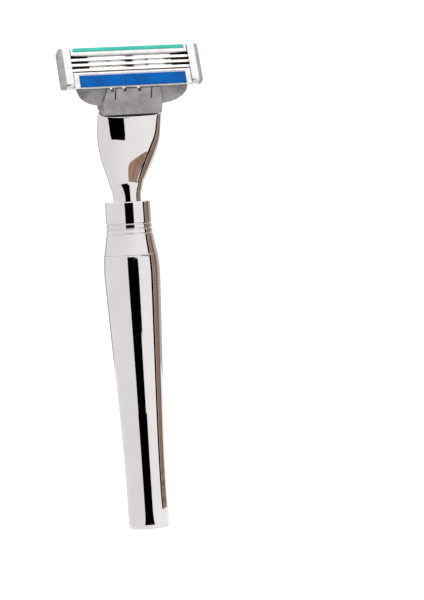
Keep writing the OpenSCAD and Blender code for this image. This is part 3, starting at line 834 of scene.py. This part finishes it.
def neck():
    """The neck: round stem below, wide flattened top, with its mouth and thumb-slide recess."""
    rings = [neck_ring(0.0, 0.0)]
    usable = neck_len - TOP_EDGE - SEAT_DEEP
    rings += [neck_ring(SEAT_DEEP + usable * i / RING_STEPS, 0.0) for i in range(RING_STEPS + 1)]
    for i in range(1, EDGE_STEPS + 1):
        angle = math.pi / 2 * i / EDGE_STEPS
        along = neck_len - TOP_EDGE * (1 - math.sin(angle))
        rings.append(neck_ring(along, TOP_EDGE * (1 - math.cos(angle))))
    skin = loft("neck_skin", rings)
    mouth = bar("mouth", (-HOUSING_HALF_W, -HOUSING_HALF_D, MOUTH_FOOT),
                (HOUSING_HALF_W, HOUSING_HALF_D, PAST_TOP))
    recess = bar("recess", (-PAD_HALF_W - PAD_ROOM, BACK_FLAT, PAD_FOOT - PAD_ROOM),
                 (PAD_HALF_W + PAD_ROOM, BACK_FLAT + PAST_BACK, PAD_TOP + TRAVEL + PAD_ROOM))
    slot = bar("slot", (-STEM_HALF_W, 0, SLOT_FOOT), (STEM_HALF_W, BACK_FLAT + PAST_BACK, SLOT_TOP))
    for cutter in (mouth, recess, slot):
        cutter.transform(DOCK)
    mesh = cut_away("neck_lofted", skin, (mouth, recess, slot))
    finish_mesh(mesh, CHROME, NECK_SHARP)
    add_piece("neck_lofted", mesh, "handle", "chrome", "neck")


# ---------------------------------------------------------------- mechanism

BUSH_BEVEL = 0.3
THREAD_PITCH = 0.7
THREAD_DEEP = 0.35
THREAD_RISE = 0.3
THREAD_CREST = 0.1
THREAD_ENDS = 0.6
STUD_NOSE = 0.5


def turned_size(node):
    """A turned CAD node's foot, top and radius in millimetres."""
    low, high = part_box(node)
    return low.z / MM, high.z / MM, high.x / MM


def barrel_bush():
    """The threaded bush in the barrel's mouth."""
    foot, top, radius = turned_size("barrel_bush")
    mesh = lathe("barrel_bush_turned", [
        (STUD_R, foot), (radius - BUSH_BEVEL, foot), (radius, foot + BUSH_BEVEL),
        (radius, top - BUSH_BEVEL), (radius - BUSH_BEVEL, top), (STUD_R, top),
    ], 96)
    finish_mesh(mesh, BRASS)
    add_piece("barrel_bush_turned", mesh, "handle", "brass", "barrel_bush")


def tie_stud():
    """The threaded stud that ties neck, collar and barrel together."""
    foot, top, radius = turned_size("tie_stud")
    root = radius - THREAD_DEEP
    outline = [(0, foot), (radius - STUD_NOSE, foot), (root, foot + 0.15)]
    for i in range(int((top - foot - THREAD_ENDS) / THREAD_PITCH)):
        z = foot + THREAD_RISE + i * THREAD_PITCH
        crest = z + THREAD_RISE
        outline += [(root, z), (radius, crest), (radius, crest + THREAD_CREST)]
    outline += [(root, top - 0.2), (radius - STUD_NOSE, top), (0, top)]
    mesh = lathe("tie_stud_threaded", outline, 72)
    finish_mesh(mesh, STEEL)
    add_piece("tie_stud_threaded", mesh, "handle", "steel", "tie_stud")


def spring(name, body, node, foot, top, y, radius, wire, turns):
    """A wound spring in the dock's frame between two heights, in millimetres."""
    mesh = wound_spring(name, SPRING, (radius - wire / 2) * MM, wire * MM, (top - foot - wire) * MM, turns)
    mesh.transform(DOCK @ Matrix.Translation((0, y * MM, (foot + wire / 2) * MM)))
    mesh.shade_smooth()
    add_piece(name, mesh, body, "spring_steel", node)


def springs():
    """The plunger's spring and the release slide's."""
    spring("plunger_spring_wound", "handle", "plunger_spring", -5.55, 2.4, 1.2, 0.9, 0.2, 11)
    spring("release_spring_wound", "handle", "release_spring", -9.15, -1.05, -1.1, 0.8, 0.2, 11)


def mechanism():
    """Housing with its nose, latch spring, plunger and release fork."""
    add_piece("housing_moulded", softened("mechanism_housing", 0.1, BLACK),
              "handle", "black_plastic", "mechanism_housing")
    add_piece("latch_spring", softened("latch_clip", 0.04, SPRING),
              "handle", "spring_steel", "latch_clip")
    add_piece("plunger_moulded", softened("plunger", 0.05, GREY, flat=0.2),
              "plunger", "grey_plastic", "plunger")
    add_piece("release_fork_stamped", softened("release_fork", 0.06, STEEL),
              "release", "steel", "release_fork")


PAD_FACE = 3.35
PAD_THICK = 1.0
PAD_ROUND = 0.4
PAD_SKIN = 0.12
SLIDE_STEM_HALF_W = 1.2
SLIDE_STEM_BACK = 2.2
SLIDE_STEM_FOOT = -10.9
SLIDE_STEM_TOP = -9.3
SLIDE_STEM_ROUND = 0.08
RIBS = 5
RIB_PITCH = 1.0
RIB_LEN = 4.2
RIB_W = 0.3
RIB_H = 0.5
RIB_SUNK = 0.15


def thumb_slide():
    """Thumb pad with raised ribs, and the stem that carries it through the neck's back."""
    pad = bar("pad", (-PAD_HALF_W, PAD_FACE, PAD_FOOT),
              (PAD_HALF_W, PAD_FACE + PAD_THICK - PAD_SKIN, PAD_TOP), PAD_ROUND, 5)
    stem = bar("stem", (-SLIDE_STEM_HALF_W, SLIDE_STEM_BACK, SLIDE_STEM_FOOT),
               (SLIDE_STEM_HALF_W, PAD_FACE + 0.2, SLIDE_STEM_TOP), SLIDE_STEM_ROUND, 2)
    for mesh in (pad, stem):
        finish_mesh(mesh, BLACK)
    ribs = rib_row("pad_ribs", BLACK, RIB_LEN * MM, RIBS, RIB_PITCH * MM, RIB_W * MM, RIB_H * MM)
    rib_y = PAD_FACE + PAD_THICK - RIB_SUNK
    ribs.transform(Matrix.Translation((0, rib_y * MM, (PAD_FOOT + PAD_TOP) / 2 * MM)))
    mesh = joined("release_slide_moulded", (pad, stem, ribs))
    mesh.transform(DOCK)
    add_piece("release_slide_moulded", mesh, "release", "black_plastic", "release_slider")


EAR_SIDE = 15.2
EAR_SKIN = 0.15
EAR_FOOT = 7.15


def fair_ears(bm):
    """Lifts the ears' outer feet so that they end behind the wings."""
    turned = DOCK.inverted()
    for vert in bm.verts:
        place = turned @ vert.co / MM
        if EAR_SIDE < abs(place.x) < EAR_SIDE + EAR_SKIN and place.z < EAR_FOOT:
            vert.co = DOCK @ (Vector((place.x, place.y, EAR_FOOT)) * MM)


def yoke():
    """The cartridge's grey interconnect, as the CAD has it but for the ears' lifted feet."""
    mesh = softened("yoke", 0.1, YOKE, shape=fair_ears)
    add_piece("yoke_moulded", mesh, "yoke", "yoke_plastic", "yoke")


# ---------------------------------------------------------------- cartridge

# Bounds of the frame's front, which takes painted light, and of the blades' bay, which takes painted shade;
# millimetres in the head's frame.
FRONT_HALF_W = 16.7
FRONT_DEEP = 1.4
BAY_HALF_W = 18.3
BAY_DEEP = 2.85
BAY_FOOT = -1.8


def cartridge_body():
    """Frame of the cartridge, with painted light along its front and painted shade inside the blades' bay, and the
    two bands round its ends."""
    mesh = softened("cartridge_frame", 0.07, GREY)
    mesh.materials.append(PAINTED_LIGHT_GREY)
    mesh.materials.append(SHADE)
    light_slot, shade = 1, 2
    turned = HEAD.inverted()
    # Faces at the front take the lighter grey as painted light, faces inside the blades' bay the near-black copy
    # as painted shade.
    for face in mesh.polygons:
        place = turned @ face.center / MM
        if abs(place.x) < FRONT_HALF_W and place.y < FRONT_DEEP:
            face.material_index = light_slot
        elif abs(place.x) < BAY_HALF_W and place.y < BAY_DEEP and place.z > BAY_FOOT:
            face.material_index = shade
    add_piece("cartridge_body_moulded", mesh, "blade_unit", "grey_plastic", "cartridge_frame")
    for side in ("left", "right"):
        add_piece("clip_band_" + side, softened("clip_" + side, 0.05, CLIP),
                  "blade_unit", "clip_aluminium", "clip_" + side)


def strip_box(node):
    """A strip's corners in the head's own frame, in millimetres."""
    turned = HEAD.inverted()
    points = [turned @ vert.co / MM for vert in frame["nodes"][node].data.vertices]
    low = Vector(min(p[k] for p in points) for k in range(3))
    high = Vector(max(p[k] for p in points) for k in range(3))
    return low, high


STRIP_STEPS = 18
STRIP_POWER = 0.8
STRIP_CORNER = 0.4
STRIP_EASE = 0.35
STRIP_SHARP = math.radians(50)


def strip_profile(low, high, crown):
    """A strip's section as (y, z) points: its crowned face, then its two rounded back corners."""
    half = (high.z - low.z) / 2
    middle = (high.z + low.z) / 2
    profile = []
    for i in range(STRIP_STEPS + 1):
        angle = math.pi * (i / STRIP_STEPS - 0.5)
        z = middle + half * bent_power(math.sin(angle), STRIP_POWER)
        y = low.y + crown * (1 - bent_power(math.cos(angle), STRIP_POWER))
        profile.append((y, z))
    turn = min(STRIP_CORNER, (high.y - low.y) / 3)
    corner = [(high.y - turn, high.z), (high.y - 0.3 * turn, high.z - 0.3 * turn), (high.y, high.z - turn)]
    return profile + corner + [(y, 2 * middle - z) for y, z in reversed(corner)]


def crowned_strip(name, low, high, crown, material):
    """A long strip between two corners whose face, towards -Y, is crowned and rounded."""
    half = (high.z - low.z) / 2
    middle = (high.z + low.z) / 2
    profile = strip_profile(low, high, crown)
    rings = []
    for share in (0.0, 0.3, 0.7, 1.0):
        inset = STRIP_EASE * (1 - math.sin(math.pi / 2 * share)) * 0.5
        x = low.x + STRIP_EASE * (1 - math.cos(math.pi / 2 * share))
        rings.append([Vector((x, min(y + inset, high.y), middle + (z - middle) * (1 - inset / half))) * MM
                      for y, z in profile])
    rings += [[Vector((-point.x, point.y, point.z)) for point in ring] for ring in reversed(rings)]
    mesh = loft(name, rings)
    finish_mesh(mesh, material, STRIP_SHARP)
    return mesh


def lubricating_strip():
    """The aqua strip along the top of the face."""
    low, high = strip_box("lube_strip")
    mesh = crowned_strip("lubricating_strip", low, high, 0.4, AQUA)
    mesh.transform(HEAD)
    add_piece("lubricating_strip", mesh, "blade_unit", "lube_polymer", "lube_strip")


BED_BACK = 0.14
FIN_COUNT = 8
FIN_SHORT = 0.3
FIN_SHARE = 0.62
FIN_H = 0.44
FIN_BACK = 0.23


def guard():
    """The blue rubber guard: a bedded strip with fine fins along its face."""
    low, high = strip_box("guard_strip")
    bed_low = Vector((low.x, low.y + BED_BACK, low.z))
    bed = crowned_strip("guard_bed", bed_low, high, 0.25, BLUE)
    pitch = (high.z - low.z - FIN_SHORT) / FIN_COUNT
    fins = rib_row("guard_fins", BLUE, (high.x - low.x - FIN_SHORT) * MM, FIN_COUNT, pitch * MM,
                   FIN_SHARE * pitch * MM, FIN_H * MM)
    fins.transform(Matrix.Translation((0, (low.y + FIN_BACK) * MM, (high.z + low.z) / 2 * MM)))
    mesh = joined("guard_finned", (bed, fins), STRIP_SHARP)
    mesh.transform(HEAD)
    add_piece("guard_finned", mesh, "blade_unit", "guard_rubber", "guard_strip")


BLADE_PITCH = 1.5
BLADE_W = 1.38
BLADE_T = 0.1
BLADE_TILT = math.radians(21.5)
BLADE_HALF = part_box("blade_2")[1].x / MM
HONED = 0.13
WINDOW_END = 11.5
WINDOW_MID = 1.15
WINDOW_H = 0.42
WELDS = 8
WELD_PITCH = 2.95
WELD_R = 0.13
WELD_PROUD = 0.03
WELD_DOWN = 0.2
EDGE_UP = 0.1
BLADE_SHARP = math.radians(20)


def blade_outline():
    """The strip's front outline from above the honed edge: ends and middle have windows."""
    return [
        (-BLADE_HALF, HONED), (BLADE_HALF, HONED), (BLADE_HALF, BLADE_W - WINDOW_H),
        (WINDOW_END, BLADE_W - WINDOW_H), (WINDOW_END, BLADE_W), (WINDOW_MID, BLADE_W),
        (WINDOW_MID, BLADE_W - WINDOW_H), (-WINDOW_MID, BLADE_W - WINDOW_H), (-WINDOW_MID, BLADE_W),
        (-WINDOW_END, BLADE_W), (-WINDOW_END, BLADE_W - WINDOW_H), (-BLADE_HALF, BLADE_W - WINDOW_H),
    ]


def blade_plate(name):
    """The strip itself, its honed wedge painted with the brown reflection."""
    bm = bmesh.new()
    front = [bm.verts.new((x * MM, 0, z * MM)) for x, z in blade_outline()]
    back = [bm.verts.new((x * MM, BLADE_T * MM, z * MM)) for x, z in blade_outline()]
    count = len(front)
    bm.faces.new(front)
    bm.faces.new(back)
    edge = [bm.verts.new((x * MM, BLADE_T / 2 * MM, 0)) for x in (-BLADE_HALF, BLADE_HALF)]
    for i in range(1, count):
        j = (i + 1) % count
        bm.faces.new((front[i], front[j], back[j], back[i]))
    wedge = [
        bm.faces.new((front[0], front[1], edge[1], edge[0])),
        bm.faces.new((back[0], back[1], edge[1], edge[0])),
        bm.faces.new((front[0], back[0], edge[0])),
        bm.faces.new((front[1], back[1], edge[1])),
    ]
    # The wedge faces take the painted brown reflection.
    for face in wedge:
        face.material_index = 1
    plate = mesh_from(bm, name)
    plate.materials.append(BLADE)
    plate.materials.append(EDGE_REFLECTION)
    return plate


def blade(index):
    """One blade strip with the weld dots that hold it to its bent support."""
    body = f"blade_{index}"
    plate = blade_plate(f"{body}_plate")
    # The weld dots take the same painted brown reflection as the honed edge.
    dots = dot_row(f"{body}_welds", EDGE_REFLECTION, WELDS, WELD_PITCH * MM, WELD_R * MM, WELD_PROUD * MM)
    dots.transform(Matrix.Translation((0, 0, (BLADE_W - WELD_DOWN) * MM)))
    mesh = joined(f"{body}_ground", (plate, dots), BLADE_SHARP)
    height = ((2 - index) * BLADE_PITCH + EDGE_UP) * MM
    mesh.transform(HEAD @ Matrix.Translation((0, 0, height)) @ Matrix.Rotation(-BLADE_TILT, 4, "X"))
    add_piece(f"{body}_ground", mesh, body, "blade_steel", body)
    support = softened(f"blade_support_{index}", 0.03, STEEL)
    add_piece(f"{body}_support_bent", support, body, "steel", f"blade_support_{index}")


# ---------------------------------------------------------------- stage

def plain_material(name, colour, rough=0.9):
    """A matt finish for the floor, faintly uneven."""
    f = Finish(name)
    f.feed("Base Color", f.tint(f.noise(30, 3), tuple(0.98 * c for c in colour), colour))
    f.set("Roughness", rough)
    return f.material


def upright_streaks(tree, dark, colour):
    """A node socket with upright streaks between two colours."""
    where = tree.nodes.new("ShaderNodeTexCoord")
    mapping = tree.nodes.new("ShaderNodeMapping")
    mapping.inputs["Scale"].default_value = (110, 110, 7)
    streaks = tree.nodes.new("ShaderNodeTexNoise")
    streaks.inputs["Scale"].default_value = 1.0
    streaks.inputs["Detail"].default_value = 3.0
    spread = tree.nodes.new("ShaderNodeMapRange")
    spread.inputs["From Min"].default_value = 0.35
    spread.inputs["From Max"].default_value = 0.6
    mix = tree.nodes.new("ShaderNodeMix")
    mix.data_type = "RGBA"
    mix.inputs["A"].default_value = (*dark, 1)
    mix.inputs["B"].default_value = (*colour, 1)
    tree.links.new(where.outputs["Object"], mapping.inputs["Vector"])
    tree.links.new(mapping.outputs["Vector"], streaks.inputs["Vector"])
    tree.links.new(streaks.outputs["Fac"], spread.inputs["Value"])
    tree.links.new(spread.outputs["Result"], mix.inputs["Factor"])
    return mix.outputs["Result"]


def glow_material(name, colour, dark=None):
    """The finish of a card that only reflections show, streaked where a darker colour is given."""
    material = bpy.data.materials.new(name)
    material.use_nodes = True
    tree = material.node_tree
    tree.nodes.clear()
    glow = tree.nodes.new("ShaderNodeEmission")
    glow.inputs["Color"].default_value = (*colour, 1)
    if dark:
        tree.links.new(upright_streaks(tree, dark, colour), glow.inputs["Color"])
    out = tree.nodes.new("ShaderNodeOutputMaterial")
    tree.links.new(glow.outputs["Emission"], out.inputs["Surface"])
    return material


def reflected_only(name, mesh, material):
    """Puts a studio piece in the scene that nothing but a reflection shows."""
    mesh.materials.append(material)
    card = bpy.data.objects.new(name, mesh)
    scene.collection.objects.link(card)
    card.visible_camera = False
    card.visible_diffuse = False
    card.visible_shadow = False
    card.visible_transmission = False


CARD_FOOT = 0.0005
CARD_STEPS = 24


def studio_card(name, colour, radius, start, end, high, high_end=None, floor_from=None, dark=None):
    """A curved card round the razor between two bearings, in degrees from -Y towards +X. Its top
    may slope, and it may run on over the floor towards the razor."""
    bm = bmesh.new()
    columns = []
    for i in range(CARD_STEPS + 1):
        t = i / CARD_STEPS
        bearing = math.radians(start + (end - start) * t)
        way = Vector((math.sin(bearing), -math.cos(bearing), 0))
        top = high + ((high if high_end is None else high_end) - high) * t
        column = [way * radius + Vector((0, 0, top)), way * radius + Vector((0, 0, CARD_FOOT))]
        if floor_from is not None:
            column.append(way * floor_from + Vector((0, 0, CARD_FOOT)))
        columns.append([bm.verts.new(point) for point in column])
    for left, right in zip(columns, columns[1:]):
        for k in range(len(left) - 1):
            bm.faces.new((left[k], right[k], right[k + 1], left[k + 1]))
    mesh = bpy.data.meshes.new(name)
    bm.to_mesh(mesh)
    bm.free()
    reflected_only(name, mesh, glow_material(name, colour, dark))


def studio_egg(name, colour, dark, place, radii):
    """A flattened ball that shows as a patch of colour in the neck's chrome."""
    bm = bmesh.new()
    bmesh.ops.create_uvsphere(bm, u_segments=48, v_segments=32, radius=1.0)
    for vert in bm.verts:
        vert.co = Vector(c * r + p for c, r, p in zip(vert.co, radii, place))
    mesh = bpy.data.meshes.new(name)
    bm.to_mesh(mesh)
    bm.free()
    mesh.shade_smooth()
    reflected_only(name, mesh, glow_material(name, colour, dark))


def stage_floor():
    """A wide pale floor that the chrome does not reflect."""
    mesh = bpy.data.meshes.new("floor")
    half = 3.0
    mesh.from_pydata([(-half, -half, 0), (half, -half, 0), (half, half, 0), (-half, half, 0)], [],
                     [(0, 1, 2, 3)])
    mesh.materials.append(plain_material("pale_floor", (0.8, 0.8, 0.795)))
    floor = bpy.data.objects.new("floor", mesh)
    floor.visible_glossy = False
    scene.collection.objects.link(floor)


def soft_light(name, place, size, watts, aim=(0, 0, 0.07)):
    """A round soft light aimed at the middle of the handle."""
    data = bpy.data.lights.new(name, "AREA")
    data.shape = "DISK"
    data.size = size
    data.energy = watts
    light = bpy.data.objects.new(name, data)
    light.location = place
    light.rotation_euler = (Vector(aim) - Vector(place)).to_track_quat("-Z", "Y").to_euler()
    light.visible_glossy = False
    scene.collection.objects.link(light)


def surround():
    """An even white surround, a little brighter on the right and overhead."""
    world = bpy.data.worlds.new("surround")
    scene.world = world
    world.use_nodes = True
    tree = world.node_tree
    back = tree.nodes["Background"]
    where = tree.nodes.new("ShaderNodeTexCoord")
    split = tree.nodes.new("ShaderNodeSeparateXYZ")
    tree.links.new(where.outputs["Generated"], split.inputs["Vector"])
    strength = tree.nodes.new("ShaderNodeMath")
    strength.operation = "MULTIPLY"
    for slot, axis, start, end, low, high in (
        (0, "X", -0.6, 0.5, 1.0, 1.16),
        (1, "Z", 0.25, 0.9, 1.0, 1.4),
    ):
        spread = tree.nodes.new("ShaderNodeMapRange")
        spread.inputs["From Min"].default_value = start
        spread.inputs["From Max"].default_value = end
        spread.inputs["To Min"].default_value = low
        spread.inputs["To Max"].default_value = high
        tree.links.new(split.outputs[axis], spread.inputs["Value"])
        tree.links.new(spread.outputs["Result"], strength.inputs[slot])
    tree.links.new(strength.outputs["Value"], back.inputs["Strength"])
    back.inputs["Color"].default_value = (1.0, 0.995, 0.99, 1)


BROWN = (0.46, 0.31, 0.23)
DARK_BROWN = (0.13, 0.075, 0.05)
BLACK_CARD = (0.0, 0.0, 0.0)


def studio():
    """Floor, surround, two soft lights and the cards that the chrome reflects."""
    stage_floor()
    surround()
    soft_light("key_light", (-0.55, -0.6, 0.75), 0.7, 5.0)
    soft_light("fill_light", (0.7, -0.35, 0.5), 0.6, 2.0)
    studio_card("dark_gap", BLACK_CARD, 0.62, -31, 13, 0.172, 0.150, floor_from=0.34)
    studio_card("near_gap", BLACK_CARD, 0.34, -31, 8, 0.001, floor_from=0.15)
    studio_card("low_gap", BLACK_CARD, 0.032, -31, 10, 0.0275, floor_from=0.008)
    studio_card("dark_edge", BLACK_CARD, 0.12, 66, 77, 0.125, floor_from=0.03)
    studio_card("warm_card", BROWN, 0.11, 78, 113, 0.118, floor_from=0.03, dark=DARK_BROWN)
    studio_card("side_card", (0.6, 0.57, 0.56), 0.35, 113, 158, 0.35)
    studio_card("back_card", (0.5, 0.48, 0.47), 0.4, 158, 202, 0.35)
    studio_egg("warm_shape", BROWN, DARK_BROWN, (0.0155, -0.0165, 0.079), (0.0115, 0.0045, 0.0012))


# ---------------------------------------------------------------- camera

CAMERA_PLACE = Vector((-0.125934, -0.486123, 0.094881))
CAMERA_BEARING = math.radians(-17.002)
CAMERA_RISE = math.radians(3.710)
CAMERA_ROLL = math.radians(-3.687)
SENSOR_W = 36
LENS = 108


def camera():
    """Long lens, a little above the middle, slightly rolled."""
    data = bpy.data.cameras.new("camera")
    data.sensor_width = SENSOR_W
    data.lens = LENS
    data.clip_start = 0.01
    data.dof.use_dof = False
    view = bpy.data.objects.new("camera", data)
    back = Vector((
        math.sin(CAMERA_BEARING) * math.cos(CAMERA_RISE),
        -math.cos(CAMERA_BEARING) * math.cos(CAMERA_RISE),
        math.sin(CAMERA_RISE),
    ))
    right = (-back).cross(Vector((0, 0, 1))).normalized()
    up = right.cross(-back)
    x_axis = right * math.cos(CAMERA_ROLL) + up * math.sin(CAMERA_ROLL)
    y_axis = -right * math.sin(CAMERA_ROLL) + up * math.cos(CAMERA_ROLL)
    turn = Matrix((x_axis, y_axis, back)).transposed().to_4x4()
    view.matrix_world = Matrix.Translation(CAMERA_PLACE) @ turn
    scene.collection.objects.link(view)
    scene.camera = view


# ---------------------------------------------------------------- everything together

camera()
scene.view_settings.view_transform = "Standard"
studio()
barrel()
collar()
neck()
barrel_bush()
tie_stud()
springs()
mechanism()
thumb_slide()
yoke()
cartridge_body()
lubricating_strip()
guard()
for number in (1, 2, 3):
    blade(number)
